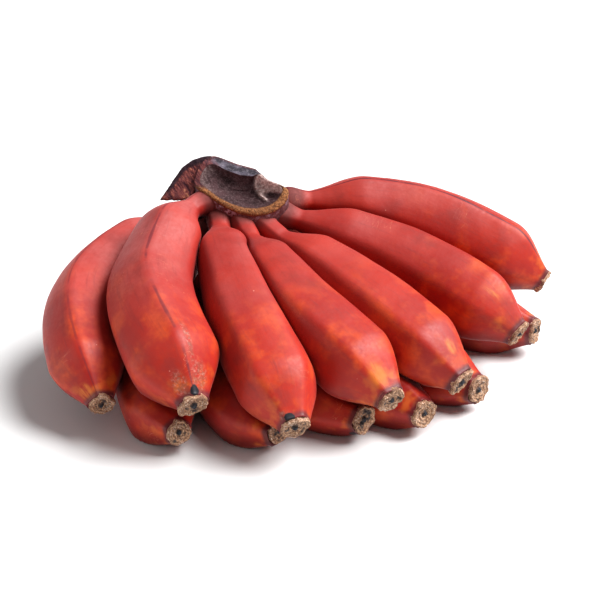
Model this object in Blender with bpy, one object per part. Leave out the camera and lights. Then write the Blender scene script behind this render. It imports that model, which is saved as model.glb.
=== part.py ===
"""A hand of red bananas, cut from its bunch and lying on a table.

Thirteen bananas grow in two rows out of one woody crown. The lower row lies on the table, the
upper row lies on the lower row, and neighbours press flat against each other. Seats follow the
crown's size and height, and the rows' heights follow the girth. The hand is laid out round the
crown's middle, with every banana fanned towards -Y, and is then moved so that the middle of the
underside of its box is the origin. Lengths are in millimetres until the meshes are finished.
"""

import math
from dataclasses import dataclass

import bmesh
import bpy
import numpy as np
from mathutils import Euler
from mathutils import Matrix
from mathutils import Vector
from mathutils.bvhtree import BVHTree

MILLIMETRE = 0.001

# The crown.
CROWN_HEIGHT = 85.0  # its middle over the table
CROWN_WIDTH = 62.0  # across the fan
CROWN_DEPTH = 44.0  # front to back
CROWN_THICKNESS = 44.0
CROWN_ROLL = 10.0  # its left side stands higher
HEEL_LENGTH = 50.0  # the torn heel at its left
HEEL_WIDTH = 26.0
HEEL_THICKNESS = 15.0
HEEL_SLOPE = 40.0
DISH_WIDTH = 62.0  # the hollow in the cut face
DISH_REACH = 40.0
DISH_DEPTH = 8.0
DISH_TILT = 45.0  # lean of the cut face towards the bananas

# Every banana.
GIRTH = 43.0  # thickness where it is thickest
NECK_RADIUS = 6.3
NECK_LENGTH = 18.0
SHOULDER_LENGTH = 24.0
SHOULDER_SHARE = 0.74  # of the girth, where the shoulder ends
BELLY_SHARE = 0.66  # of the length, where the banana is thickest
TAPER_LENGTH = 33.0
TIP_RADIUS = 7.5
STUB_LENGTH = 4.0
STUB_HOLLOW = 1.2  # how far the corky end is dished
ANGULARITY = 0.30  # 0 is a round section and 1 is a five-sided one
PRESS_CLEARANCE = 0.7  # between bananas that press against each other
CROWN_CLEARANCE = 1.0  # between a neck and the crown

# How finely a banana is made.
RINGS = 22
NECK_RINGS = 4
SIDES = 16
SEAT_REACH = 2  # sides to each side that a neck's seat looks at
LINE_POINTS = 90


@dataclass
class Banana:
    """One banana as it lies in the hand."""

    name: str
    seat: tuple  # the start of its middle line, in shares of the crown's width, depth and thickness
    belly: tuple  # half way along that line: right and back in mm, and up in shares of the girth
    tip: tuple  # the end of its corky stub, measured like the belly
    neck: tuple  # bearing and pitch where it leaves the crown
    end: tuple  # bearing and pitch at the tip
    extra_girth: float = 0.0  # added to GIRTH
    roll: float = 0.0  # turn of its five sides


UPPER_ROW = (
    Banana("banana_upper_1", (-0.42, 0.14, -0.23), (-90, -51, 1.30), (-75, -134, 0.56),
           (186, -6), (292, -20), 0, 10),
    Banana("banana_upper_2", (-0.23, 0.00, -0.05), (-51, -70, 1.58), (-22, -154, 0.84),
           (182, 8), (291, -25), 8, 0),
    Banana("banana_upper_3", (-0.15, -0.11, -0.11), (3, -80, 1.44), (33, -161, 0.67),
           (255, -3), (287, -22), 2, 20),
    Banana("banana_upper_4", (0.00, -0.18, -0.14), (32, -82, 1.37), (84, -139, 0.77),
           (285, -4), (304, -20), 3, 5),
    Banana("banana_upper_5", (0.16, -0.18, -0.14), (64, -62, 1.33), (128, -118, 0.72),
           (305, -5), (317, -22), 2, 30),
    Banana("banana_upper_6", (0.27, -0.07, -0.09), (92, -22, 1.37), (163, -66, 0.77),
           (345, -6), (322, -25), 2, 12),
    Banana("banana_upper_7", (0.32, 0.09, 0.00), (106, 14, 1.60), (189, -8, 0.88),
           (8, -2), (340, -28), 2, 24),
)
LOWER_ROW = (
    Banana("banana_lower_1", (-0.32, 0.05, -0.25), (-57, -66, 0.49), (-31, -151, 0.35),
           (215, -52), (300, 10), -2, 0),
    Banana("banana_lower_2", (-0.16, -0.05, -0.25), (-19, -74, 0.47), (24, -151, 0.37),
           (255, -52), (315, 5), -2, 15),
    Banana("banana_lower_3", (0.00, -0.09, -0.25), (22, -78, 0.47), (71, -138, 0.35),
           (285, -52), (314, 5), -2, 30),
    Banana("banana_lower_4", (0.13, -0.09, -0.25), (50, -65, 0.47), (105, -132, 0.35),
           (305, -52), (310, 4), -2, 8),
    Banana("banana_lower_5", (0.19, -0.05, -0.25), (76, -42, 0.47), (139, -106, 0.42),
           (328, -52), (318, 5), -2, 22),
    Banana("banana_lower_6", (0.26, 0.14, -0.25), (93, -4, 0.51), (179, -36, 0.42),
           (355, -50), (330, 0), -2, 0),
)
HAND = UPPER_ROW + LOWER_ROW


def unit(vector):
    """The same direction, one long."""
    return vector / np.linalg.norm(vector)


def compass(bearing, pitch):
    """Unit vector at a bearing from +X seen from above, tilted up by the pitch."""
    turn = math.radians(bearing)
    tilt = math.radians(pitch)
    flat = math.cos(tilt)
    return np.array([math.cos(turn) * flat, math.sin(turn) * flat, math.sin(tilt)])


def ease(share):
    """Smooth step from 0 to 1, flat at both ends."""
    share = np.clip(share, 0.0, 1.0)
    return share * share * (3.0 - 2.0 * share)


def hermite(start, finish, leaving, arriving, share):
    """Points on the curve between two points with the given directions at its ends."""
    pull = np.linalg.norm(finish - start)
    t = share[:, None]
    return (
        start * (2 * t**3 - 3 * t**2 + 1)
        + leaving * pull * (t**3 - 2 * t**2 + t)
        + finish * (3 * t**2 - 2 * t**3)
        + arriving * pull * (t**3 - t**2)
    )


def centreline(banana, shares):
    """Points at the given shares of the banana's middle line, and its length."""
    seat = np.array(banana.seat) * (CROWN_WIDTH, CROWN_DEPTH, CROWN_THICKNESS) + (0.0, 0.0, CROWN_HEIGHT)
    belly = np.array(banana.belly) * (1.0, 1.0, GIRTH)
    tip = np.array(banana.tip) * (1.0, 1.0, GIRTH)
    back = np.linalg.norm(belly - seat)
    ahead = np.linalg.norm(tip - belly)
    through = unit((belly - seat) / back * ahead + (tip - belly) / ahead * back)
    t = np.linspace(0.0, 1.0, LINE_POINTS)
    curve = np.concatenate(
        [
            hermite(seat, belly, compass(*banana.neck), through, t)[:-1],
            hermite(belly, tip, through, compass(*banana.end), t),
        ]
    )
    steps = np.linalg.norm(np.diff(curve, axis=0), axis=1)
    travel = np.concatenate([[0.0], np.cumsum(steps)])
    wanted = np.asarray(shares) * travel[-1]
    points = np.stack([np.interp(wanted, travel, curve[:, k]) for k in range(3)], axis=1)
    return points, travel[-1]


def thickness(banana, travel, length):
    """Radius at each distance along the banana: neck, shoulder, belly, taper and corky stub."""
    belly = (GIRTH + banana.extra_girth) / 2
    shoulder = belly * SHOULDER_SHARE
    swell = ease((travel - NECK_LENGTH) / SHOULDER_LENGTH)
    fill = ease((travel - NECK_LENGTH) / (length * BELLY_SHARE - NECK_LENGTH))
    body = NECK_RADIUS + (shoulder - NECK_RADIUS) * swell + (belly - shoulder) * fill
    left = np.clip((length - STUB_LENGTH - travel) / TAPER_LENGTH, 0.0, 1.0)
    taper = (ease(left) + left * (2.0 - left)) / 2
    return TIP_RADIUS + (body - TIP_RADIUS) * taper


def ring_shares(length):
    """Shares of the length at which rings stand, with one at each end of the corky stub."""
    even = np.linspace(0.0, 1.0, RINGS - 1)
    crowded = (even + 0.5 - 0.5 * np.cos(math.pi * even)) / 2
    return np.concatenate([crowded * (1.0 - STUB_LENGTH / length), [1.0]])


def section(angles, roll):
    """Shares of the radius round a banana's softly five-sided section."""
    corner = 2 * math.pi / 5
    off = (angles + math.radians(roll)) % corner - corner / 2
    sharp = (math.cos(corner / 2) / np.cos(off)) ** ANGULARITY
    return sharp / sharp.mean()


def bare_rings(banana):
    """Ring centres, their radii, and the vertices of every ring before anything presses on it."""
    _, length = centreline(banana, [0.0])
    shares = ring_shares(length)
    centres, _ = centreline(banana, shares)
    radii = thickness(banana, shares * length, length)
    forward = np.gradient(centres, axis=0)
    sideways = np.cross(forward, [0.0, 0.0, 1.0])
    sideways /= np.linalg.norm(sideways, axis=1)[:, None]
    upward = np.cross(sideways, forward)
    upward /= np.linalg.norm(upward, axis=1)[:, None]
    angles = np.arange(SIDES) * 2 * math.pi / SIDES
    outward = (
        sideways[:, None, :] * np.cos(angles)[None, :, None]
        + upward[:, None, :] * np.sin(angles)[None, :, None]
    )
    reach = radii[:, None] * section(angles, banana.roll)[None, :]
    return centres, radii, centres[:, None, :] + outward * reach[:, :, None]


def room_left(points, banana, cores):
    """Distance from each vertex to the surface of the nearest other banana."""
    room = np.full(points.shape[:2], np.inf)
    for name, (line, radii) in cores.items():
        if name == banana.name:
            continue
        away = np.linalg.norm(points[:, :, None, :] - line[None, None], axis=3) - radii
        room = np.minimum(room, away.min(axis=2))
    return room


def clear_of_crown(points, surface, clearance):
    """Whether each vertex stands outside the crown with the clearance."""
    clear = np.empty(points.shape[:2], dtype=bool)
    for spot in np.ndindex(clear.shape):
        place = Vector(points[spot])
        near, normal, _, away = surface.find_nearest(place)
        clear[spot] = (place - near).dot(normal) > 0.0 and away >= clearance
    return clear


def press(banana, centres, radii, rings, cores, surface, first, clearance):
    """The rings with every vertex drawn in to share the room evenly with what is beside it.

    From the given ring on, a vertex also keeps the clearance to the crown.
    """
    spokes = rings - centres[:, None, :]
    reach = np.linalg.norm(spokes, axis=2)

    def fits(share):
        trial = centres[:, None, :] + spokes * share[:, :, None]
        over = reach * share - radii[:, None]
        clear = room_left(trial, banana, cores) - over >= PRESS_CLEARANCE
        clear[first:] &= clear_of_crown(trial[first:], surface, clearance)
        return clear

    inside = np.full(reach.shape, 0.2)
    outside = np.full(reach.shape, 1.0)
    free = fits(outside)
    for _ in range(12):
        share = (inside + outside) / 2
        good = fits(share)
        inside = np.where(good, share, inside)
        outside = np.where(good, outside, share)
    share = np.where(free, 1.0, inside)
    return centres[:, None, :] + spokes * share[:, :, None]


def seat_on_crown(centres, rings, surface):
    """The neck's rings laid again from the crown's surface outwards, and the seat's middle."""
    last = NECK_RINGS
    laid = rings.copy()

    def run_to_crown(outer, inner):
        heading = Vector(unit(inner - outer))
        _, normal, _, run = surface.ray_cast(Vector(outer), heading)
        return run - CROWN_CLEARANCE / max(0.4, abs(normal.dot(heading)))

    runs = np.array([run_to_crown(rings[last, side], rings[0, side]) for side in range(SIDES)])
    # A side never runs further than those beside it, so the seat doesn't cut a corner of the crown.
    nearest = np.min([np.roll(runs, step) for step in range(-SEAT_REACH, SEAT_REACH + 1)], axis=0)
    for side in range(SIDES):
        outer = rings[last, side]
        start = outer + unit(rings[0, side] - outer) * nearest[side]
        for ring in range(last):
            laid[ring, side] = start + (outer - start) * ring / last
    middle_run = min(run_to_crown(centres[last], centres[0]), nearest.mean())
    return laid, centres[last] + unit(centres[0] - centres[last]) * middle_run


def ellipsoid(width, depth, height, middle, turn):
    """A smooth ball stretched to the given widths, turned, and set at its middle."""
    work = bmesh.new()
    place = Matrix.Translation(middle) @ turn.to_matrix().to_4x4()
    stretch = Matrix.Diagonal((width / 2, depth / 2, height / 2, 1.0))
    bmesh.ops.create_uvsphere(work, u_segments=28, v_segments=16, radius=1.0, matrix=place @ stretch)
    return work


def finished(name, work, material):
    """A mesh object in metres made from a finished millimetre mesh."""
    mesh = bpy.data.meshes.new(name)
    bmesh.ops.recalc_face_normals(work, faces=work.faces)
    bmesh.ops.scale(work, vec=(MILLIMETRE, MILLIMETRE, MILLIMETRE), verts=work.verts)
    work.to_mesh(mesh)
    work.free()
    mesh.shade_smooth()
    if material is not None:
        mesh.materials.append(material)
    thing = bpy.data.objects.new(name, mesh)
    bpy.context.scene.collection.objects.link(thing)
    return thing


def combine(target, tool, operation):
    """Joins or cuts the target with the tool by a live exact boolean."""
    change = target.modifiers.new(tool.name, "BOOLEAN")
    change.operation = operation
    change.solver = "EXACT"
    change.object = tool
    tool.hide_render = True
    tool.display_type = "WIRE"


def build_crown(material):
    """The crown: a blunt cushion with a sloping heel on its left and a hollowed cut face."""
    roll = math.radians(CROWN_ROLL)
    middle = Vector((0.0, 0.0, CROWN_HEIGHT))
    cushion = ellipsoid(CROWN_WIDTH, CROWN_DEPTH, CROWN_THICKNESS, middle, Euler((0.0, roll, 0.0)))
    crown = finished("crown", cushion, material)

    slope = math.radians(HEEL_SLOPE)
    heel_middle = middle + Vector((-0.56 * CROWN_WIDTH, 0.12 * CROWN_DEPTH, 0.30 * CROWN_THICKNESS))
    lean = Euler((math.radians(20.0), -slope, math.radians(15.0)))
    heel = ellipsoid(HEEL_LENGTH, HEEL_WIDTH, HEEL_THICKNESS, heel_middle, lean)
    combine(crown, finished("heel_form", heel, None), "UNION")

    tilt = math.radians(DISH_TILT)
    facing = Vector((0.0, -math.sin(tilt), math.cos(tilt)))
    hollow_middle = middle + facing * CROWN_THICKNESS / 2
    hollow = ellipsoid(DISH_WIDTH, DISH_REACH, 2 * DISH_DEPTH, hollow_middle, Euler((tilt, 0.0, 0.0)))
    combine(crown, finished("dish_form", hollow, None), "DIFFERENCE")
    return crown


def surface_of(thing):
    """The finished surface of an object, in millimetres."""
    graph = bpy.context.evaluated_depsgraph_get()
    shape = thing.evaluated_get(graph).to_mesh()
    places = [vertex.co / MILLIMETRE for vertex in shape.vertices]
    faces = [tuple(face.vertices) for face in shape.polygons]
    return BVHTree.FromPolygons(places, faces)


def close_end(work, edges, middle):
    """Closes a ring with a fan of faces that meet at the given point."""
    cap = bmesh.ops.holes_fill(work, edges=edges, sides=SIDES)["faces"]
    fan = bmesh.ops.poke(work, faces=cap)
    fan["verts"][0].co = Vector(middle)


def build_banana(banana, surface, cores, material):
    """One banana as a tube of rings from its seat on the crown to its dished corky end."""
    centres, radii, rings = bare_rings(banana)
    rings = press(banana, centres, radii, rings, cores, surface, NECK_RINGS, 2 * CROWN_CLEARANCE)
    rings, seat_middle = seat_on_crown(centres, rings, surface)
    middles = np.concatenate([rings[:NECK_RINGS].mean(axis=1), centres[NECK_RINGS:]])
    rings = press(banana, middles, radii, rings, cores, surface, 1, CROWN_CLEARANCE)
    rings[:, :, 2] = np.maximum(rings[:, :, 2], 0.0)

    work = bmesh.new()
    circle = bmesh.ops.create_circle(work, cap_ends=False, segments=SIDES, radius=1.0)["verts"]
    side_of = {vertex: side for side, vertex in enumerate(circle)}
    for vertex, side in side_of.items():
        vertex.co = Vector(rings[0, side])
    first = list(work.edges)
    edges = first
    for ring in rings[1:]:
        made = bmesh.ops.extrude_edge_only(work, edges=edges)["geom"]
        fresh = [item for item in made if isinstance(item, bmesh.types.BMVert)]
        edges = [item for item in made if isinstance(item, bmesh.types.BMEdge)]
        edges = [edge for edge in edges if edge.verts[0] in fresh and edge.verts[1] in fresh]
        for vertex in fresh:
            behind = [edge.other_vert(vertex) for edge in vertex.link_edges]
            side_of[vertex] = next(side_of[other] for other in behind if other not in fresh)
            vertex.co = Vector(ring[side_of[vertex]])
    close_end(work, first, seat_middle)
    hollow = unit(centres[-2] - centres[-1]) * STUB_HOLLOW
    close_end(work, edges, rings[-1].mean(axis=0) + hollow)
    return finished(banana.name, work, material)


def skin(name, colour, roughness):
    """A plain material."""
    material = bpy.data.materials.new(name)
    material.use_nodes = True
    shader = material.node_tree.nodes["Principled BSDF"]
    shader.inputs["Base Color"].default_value = (*colour, 1.0)
    shader.inputs["Roughness"].default_value = roughness
    shader.inputs["Metallic"].default_value = 0.0
    return material


def settle(things):
    """Moves the whole hand so that the middle of its box's underside is the origin."""
    corners = []
    graph = bpy.context.evaluated_depsgraph_get()
    for thing in things:
        shape = thing.evaluated_get(graph).to_mesh()
        corners.extend(vertex.co.copy() for vertex in shape.vertices)
    lows = [min(corner[axis] for corner in corners) for axis in range(3)]
    highs = [max(corner[axis] for corner in corners) for axis in range(3)]
    move = Vector((-(lows[0] + highs[0]) / 2, -(lows[1] + highs[1]) / 2, -lows[2]))
    for thing in bpy.context.scene.objects:
        thing.location = thing.location + move


def main():
    for thing in list(bpy.data.objects):
        bpy.data.objects.remove(thing)
    things = [build_crown(skin("crown_bark", (0.13, 0.06, 0.055), 0.85))]
    surface = surface_of(things[0])
    cores = {}
    for banana in HAND:
        shares = np.linspace(0.0, 1.0, LINE_POINTS)
        line, length = centreline(banana, shares)
        cores[banana.name] = (line, thickness(banana, shares * length, length))
    for banana in HAND:
        peel = skin(banana.name + "_peel", (0.56, 0.08, 0.045), 0.5)
        things.append(build_banana(banana, surface, cores, peel))
    settle(things)


main()
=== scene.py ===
"""A hand of red bananas lying on a pale table."""

import math
from dataclasses import dataclass

import bmesh
import bpy
import numpy as np
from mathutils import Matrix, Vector, noise


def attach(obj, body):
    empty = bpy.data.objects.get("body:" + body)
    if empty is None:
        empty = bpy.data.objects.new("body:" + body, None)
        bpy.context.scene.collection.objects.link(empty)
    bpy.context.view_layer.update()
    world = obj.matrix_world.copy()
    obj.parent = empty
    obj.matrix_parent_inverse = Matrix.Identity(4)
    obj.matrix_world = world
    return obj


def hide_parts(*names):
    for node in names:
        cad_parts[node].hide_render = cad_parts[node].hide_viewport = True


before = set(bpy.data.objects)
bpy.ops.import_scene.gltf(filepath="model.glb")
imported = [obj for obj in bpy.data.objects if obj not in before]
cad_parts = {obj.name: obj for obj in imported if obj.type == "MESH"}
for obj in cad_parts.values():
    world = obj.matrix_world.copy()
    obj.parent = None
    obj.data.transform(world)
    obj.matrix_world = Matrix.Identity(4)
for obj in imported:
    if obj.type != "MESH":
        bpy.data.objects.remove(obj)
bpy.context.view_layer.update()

MM = 0.001
BODY = "root"

# The hand's layout, in millimetres from the table under the crown's middle.
CROWN_MIDDLE = np.array([-39.09, 64.63, 0.0])
GIRTH = 43.0
NECK_RADIUS = 7.0
NECK_FLARE = 2.2  # how much thicker the neck is where it leaves the crown
NECK_START = 0.55  # of the neck's radius, where it begins inside the crown
BELLY_SHARE = 0.66  # of the length, where a banana is thickest
TAPER_LENGTH = 30.0  # over which it draws in to the tip
STUB_LENGTH = 4.0  # of the corky end
PRESS_CLEARANCE = 0.35
PRESS_LEAST = 0.3  # of the reach, what a pressed face keeps at least
PRESS_STEPS = 10
CONTACT_SHADE_BLURS = 3  # times that the painted shade's outline round the pressed faces is smoothed
CREASE_DEPTH = 0.06  # of the radius, between neck and shoulder
EDGE_HEIGHT = 0.022  # of the radius, how far the strongest edge stands out
EDGE_LEANS = (-7.0, -3.5, 0.0, 3.5, 7.0)  # degrees, averaged to soften every edge
LINE_POINTS = 90  # how finely a middle line is followed
FACETS = 5
FACET_TURN = 360.0 / FACETS
TABLE_GAP = 0.02  # lowest height of any peel

# How finely the skin is made.
PEEL_RINGS = 150
PEEL_SIDES = 100
PRESS_RINGS = 50
PRESS_SIDES = 40
TIP_SIDES = 72
FACE_SIDES = 260
ROOT_SIDES = 150
ROOT_RINGS = 90
HEEL_SIDES = 200

# The values that the crown's material reads at each vertex.
CROWN_MARKS = ("rim", "hollow", "slate", "wall", "pale", "scrape", "latex")


@dataclass
class Banana:
    """One banana: its middle line, its thickness and where its strongest edge runs."""

    name: str
    seat: tuple  # where its middle line starts, inside the crown
    belly: tuple
    tip: tuple
    neck: tuple  # bearing and pitch of the middle line at the seat
    end: tuple  # the same at the tip
    extra_girth: float
    edge: float  # angle of its strongest edge: 0 is its right hand side, 90 its top
    seed: float
    edge_line: float = 0.0  # how dark that edge's line is
    fullness: float = 0.68  # of the girth, where its shoulder ends
    stem: float = 22.0  # length of its neck
    shoulder: float = 28.0  # length over which it swells from neck to body
    tip_radius: float = 8.6  # where the peel ends
    dusty: float = 0.6  # how much bloom it keeps, partly painted light: little on the shaded lower row, extra on the first two as painted sheen


# The bloom amounts are partly painted light: the lower row, in the upper row's shadow, gets little as
# painted shade, and the first two upper bananas get extra as a painted sheen on their left faces.
BANANAS = (
    Banana("banana_upper_1", (-26, 6, 75), (-90, -51, 54), (-75, -137, 23), (188, -10), (292, -20),
           0, 75, 1.0, edge_line=0.5, tip_radius=7.5, dusty=1.5),
    Banana("banana_upper_2", (-15, -5, 88), (-51, -70, 68), (-22, -157, 35), (194, 20), (291, -25),
           8, 88, 2.0, edge_line=0.65, fullness=0.74, stem=20.0, shoulder=26.0, dusty=1.5),
    Banana("banana_upper_3", (-14, -5, 82), (-1, -80, 61), (32, -166, 27), (262, -14), (287, -22),
           2, 48, 3.0, fullness=0.74, stem=18.0, shoulder=24.0, dusty=0.9),
    Banana("banana_upper_4", (-3, -8, 82), (31, -82, 58), (85, -145, 31), (283, -18), (304, -20),
           3, 52, 4.0, fullness=0.72, stem=25.0, shoulder=26.0),
    Banana("banana_upper_5", (6, -8, 82), (64, -62, 57), (126, -122, 29), (302, -18), (317, -22),
           2, 50, 5.0, fullness=0.70, stem=26.0, shoulder=28.0),
    Banana("banana_upper_6", (15, -5, 82), (92, -22, 59), (165, -71, 31), (343, -8), (322, -25),
           2, 98, 6.0, fullness=0.70, stem=18.0, shoulder=34.0),
    Banana("banana_upper_7", (20, 4, 85), (106, 14, 71), (189, -12, 36), (8, -3), (340, -28),
           2, 80, 7.0, edge_line=1.0, fullness=0.76, stem=18.0, shoulder=36.0, tip_radius=7.6),
    Banana("banana_lower_1", (-20, 2, 74), (-57, -66, 21), (-31, -151, 15), (215, -52), (300, 10),
           -2, 100, 8.0, tip_radius=7.4, dusty=0.2),
    Banana("banana_lower_2", (-10, -2, 74), (-19, -74, 20), (24, -151, 16), (255, -52), (315, 5),
           -2, 90, 9.0, dusty=0.2),
    Banana("banana_lower_3", (0, -4, 74), (22, -78, 20), (71, -138, 15), (285, -52), (314, 5),
           -2, 70, 10.0, dusty=0.2),
    Banana("banana_lower_4", (8, -4, 74), (50, -65, 20), (105, -132, 15), (305, -52), (310, 4),
           -2, 85, 11.0, dusty=0.2),
    Banana("banana_lower_5", (12, -2, 74), (76, -42, 20), (138, -107, 15), (328, -52), (318, 5),
           -2, 60, 12.0, dusty=0.2),
    Banana("banana_lower_6", (16, 6, 74), (93, -4, 22), (181, -41, 17), (355, -50), (330, 0),
           -2, 80, 13.0, dusty=0.2),
)


# ---------------------------------------------------------------- shapes

def unit(vector):
    return vector / np.linalg.norm(vector)


def compass(bearing, pitch):
    """Unit vector at a bearing from +X seen from above, tilted up by the pitch."""
    turn, tilt = math.radians(bearing), math.radians(pitch)
    return np.array([math.cos(turn) * math.cos(tilt), math.sin(turn) * math.cos(tilt), math.sin(tilt)])


def ease(share):
    """Smooth step from 0 to 1, flat at both ends."""
    share = np.clip(share, 0.0, 1.0)
    return share * share * (3.0 - 2.0 * share)


def hermite(start, finish, leaving, arriving, share):
    pull = np.linalg.norm(finish - start)
    t = share[:, None]
    return (
        start * (2 * t**3 - 3 * t**2 + 1)
        + leaving * pull * (t**3 - 2 * t**2 + t)
        + finish * (3 * t**2 - 2 * t**3)
        + arriving * pull * (t**3 - t**2)
    )


def centreline(banana, shares):
    """Points at the given shares of a banana's middle line, and its length."""
    seat, belly, tip = (np.array(p, dtype=float) for p in (banana.seat, banana.belly, banana.tip))
    back, ahead = np.linalg.norm(belly - seat), np.linalg.norm(tip - belly)
    through = unit((belly - seat) / back * ahead + (tip - belly) / ahead * back)
    t = np.linspace(0.0, 1.0, LINE_POINTS)
    curve = np.concatenate([
        hermite(seat, belly, compass(*banana.neck), through, t)[:-1],
        hermite(belly, tip, through, compass(*banana.end), t),
    ])
    travel = np.concatenate([[0.0], np.cumsum(np.linalg.norm(np.diff(curve, axis=0), axis=1))])
    wanted = np.asarray(shares) * travel[-1]
    points = np.stack([np.interp(wanted, travel, curve[:, k]) for k in range(3)], axis=1)
    return points, travel[-1]


def thickness(banana, travel, length):
    """Radius at each distance along a banana: neck, shoulder, belly and taper."""
    belly = (GIRTH + banana.extra_girth) / 2
    shoulder = belly * banana.fullness
    swell = ease((travel - banana.stem) / banana.shoulder)
    fill = ease((travel - banana.stem) / (length * BELLY_SHARE - banana.stem))
    neck = NECK_RADIUS + NECK_FLARE * (1.0 - ease((travel - 7.0) / 11.0))
    neck = neck * (NECK_START + (1.0 - NECK_START) * ease(travel / 6.0))
    body = neck + (shoulder - neck) * swell + (belly - shoulder) * fill
    left = np.clip((length - STUB_LENGTH - travel) / TAPER_LENGTH, 0.0, 1.0)
    return banana.tip_radius + (body - banana.tip_radius) * (ease(left) + left * (2.0 - left)) / 2


def even_angles(count):
    return np.arange(count) * 2 * math.pi / count


def facet_section(angles, edge, crispness):
    """Shares of the radius round the five soft faces, with an edge at the given angle."""
    corner = math.radians(FACET_TURN)
    total = np.zeros_like(angles)
    for lean in EDGE_LEANS:
        off = (angles - math.radians(edge + lean)) % corner - corner / 2
        total += (math.cos(corner / 2) / np.cos(off)) ** crispness
    total /= len(EDGE_LEANS)
    main = (angles - math.radians(edge) + math.pi) % (2 * math.pi) - math.pi
    total += EDGE_HEIGHT * np.exp(-((main / math.radians(13.0)) ** 2))
    return total / total.mean()


def axes_along(centres):
    """Unit directions along a middle line, to its side and upwards."""
    forward = np.gradient(centres, axis=0)
    forward /= np.linalg.norm(forward, axis=1)[:, None]
    side = np.cross(forward, [0.0, 0.0, 1.0])
    side /= np.linalg.norm(side, axis=1)[:, None]
    return forward, side, np.cross(side, forward)


def tube_points(centres, reach, angles):
    """Vertices of a tube: one row of points round each centre."""
    _, side, up = axes_along(centres)
    outward = (
        side[:, None, :] * np.cos(angles)[None, :, None]
        + up[:, None, :] * np.sin(angles)[None, :, None]
    )
    return centres[:, None, :] + outward * reach[:, :, None]


def press_shares(banana, shares, angles, reach, radii, cores):
    """How far each vertex may stand from the middle line before a neighbour presses it flat."""
    centres, _ = centreline(banana, shares)
    spokes = tube_points(centres, reach, angles) - centres[:, None, :]
    inside = np.full(reach.shape, PRESS_LEAST)
    outside = np.full(reach.shape, 1.0)
    for step in range(PRESS_STEPS + 1):
        share = outside if step == 0 else (inside + outside) / 2
        trial = centres[:, None, :] + spokes * share[:, :, None]
        over = reach * share - radii[:, None]
        room = np.full(reach.shape, np.inf)
        for name, (line, line_radii) in cores.items():
            if name != banana.name:
                away = np.linalg.norm(trial[:, :, None, :] - line[None, None], axis=3) - line_radii
                room = np.minimum(room, away.min(axis=2))
        fits = room - over >= PRESS_CLEARANCE
        if step == 0:
            free = fits
        else:
            inside = np.where(fits, share, inside)
            outside = np.where(fits, outside, share)
    return np.where(free, 1.0, inside)


def stretch_grid(coarse, rows, columns):
    """A coarse ring-by-side grid smoothed and read at a finer spacing."""
    row_at = np.linspace(0, coarse.shape[0] - 1, rows)
    wrapped = np.concatenate([coarse, coarse[:, :1]], axis=1)
    column_at = np.linspace(0, coarse.shape[1], columns, endpoint=False)
    along = np.stack([np.interp(row_at, np.arange(coarse.shape[0]), wrapped[:, k])
                      for k in range(wrapped.shape[1])], axis=1)
    return np.stack([np.interp(column_at, np.arange(wrapped.shape[1]), along[k])
                     for k in range(rows)], axis=0)


def loft(rings, first_middle, last_middle):
    """A closed skin over rows of points, drawn ring by ring from a circle and closed by fans.

    Its vertices are numbered ring by ring, with the two fan middles last.
    """
    work = bmesh.new()
    count = len(rings[0])
    row = bmesh.ops.create_circle(work, cap_ends=False, segments=count, radius=1.0)["verts"]
    for vertex, point in zip(row, rings[0]):
        vertex.co = Vector(point)
    order = list(row)
    edges = first = list(work.edges)
    side_of = {vertex: side for side, vertex in enumerate(row)}
    for ring in rings[1:]:
        made = bmesh.ops.extrude_edge_only(work, edges=edges)["geom"]
        fresh = {item for item in made if isinstance(item, bmesh.types.BMVert)}
        edges = [item for item in made if isinstance(item, bmesh.types.BMEdge)
                 and item.verts[0] in fresh and item.verts[1] in fresh]
        row = [None] * count
        for vertex in fresh:
            behind = next(edge.other_vert(vertex) for edge in vertex.link_edges
                          if edge.other_vert(vertex) not in fresh)
            side = side_of[vertex] = side_of[behind]
            vertex.co = Vector(ring[side])
            row[side] = vertex
        order.extend(row)
    for rim, middle in ((first, first_middle), (edges, last_middle)):
        cap = bmesh.ops.holes_fill(work, edges=rim, sides=count)["faces"]
        fan = bmesh.ops.poke(work, faces=cap)["verts"][0]
        fan.co = Vector(middle)
        order.append(fan)
    bmesh.ops.recalc_face_normals(work, faces=work.faces)
    for number, vertex in enumerate(order):
        vertex.index = number
    work.verts.sort()
    return work


def add_piece(name, work, material, nodes, columns, across=None, along=None):
    """Turns a finished millimetre mesh into a piece of the hand, in place.

    The columns hold one value per vertex of each ring, under the name a material reads.
    """
    mesh = bpy.data.meshes.new(name)
    bmesh.ops.translate(work, vec=Vector(CROWN_MIDDLE), verts=work.verts)
    bmesh.ops.scale(work, vec=(MM, MM, MM), verts=work.verts)
    work.to_mesh(mesh)
    work.free()
    for key, grid in columns.items():
        grid = np.asarray(grid, dtype=np.float32)
        values = np.concatenate([grid.ravel(), [grid[0].mean(), grid[-1].mean()]])
        mesh.attributes.new(key, "FLOAT", "POINT").data.foreach_set("value", values)
    if across is not None:
        put_map(mesh, across, along)
    mesh.shade_smooth()
    mesh.materials.append(material)
    piece = bpy.data.objects.new(name, mesh)
    bpy.context.scene.collection.objects.link(piece)
    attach(piece, BODY)
    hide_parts(*nodes)
    return piece


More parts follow.
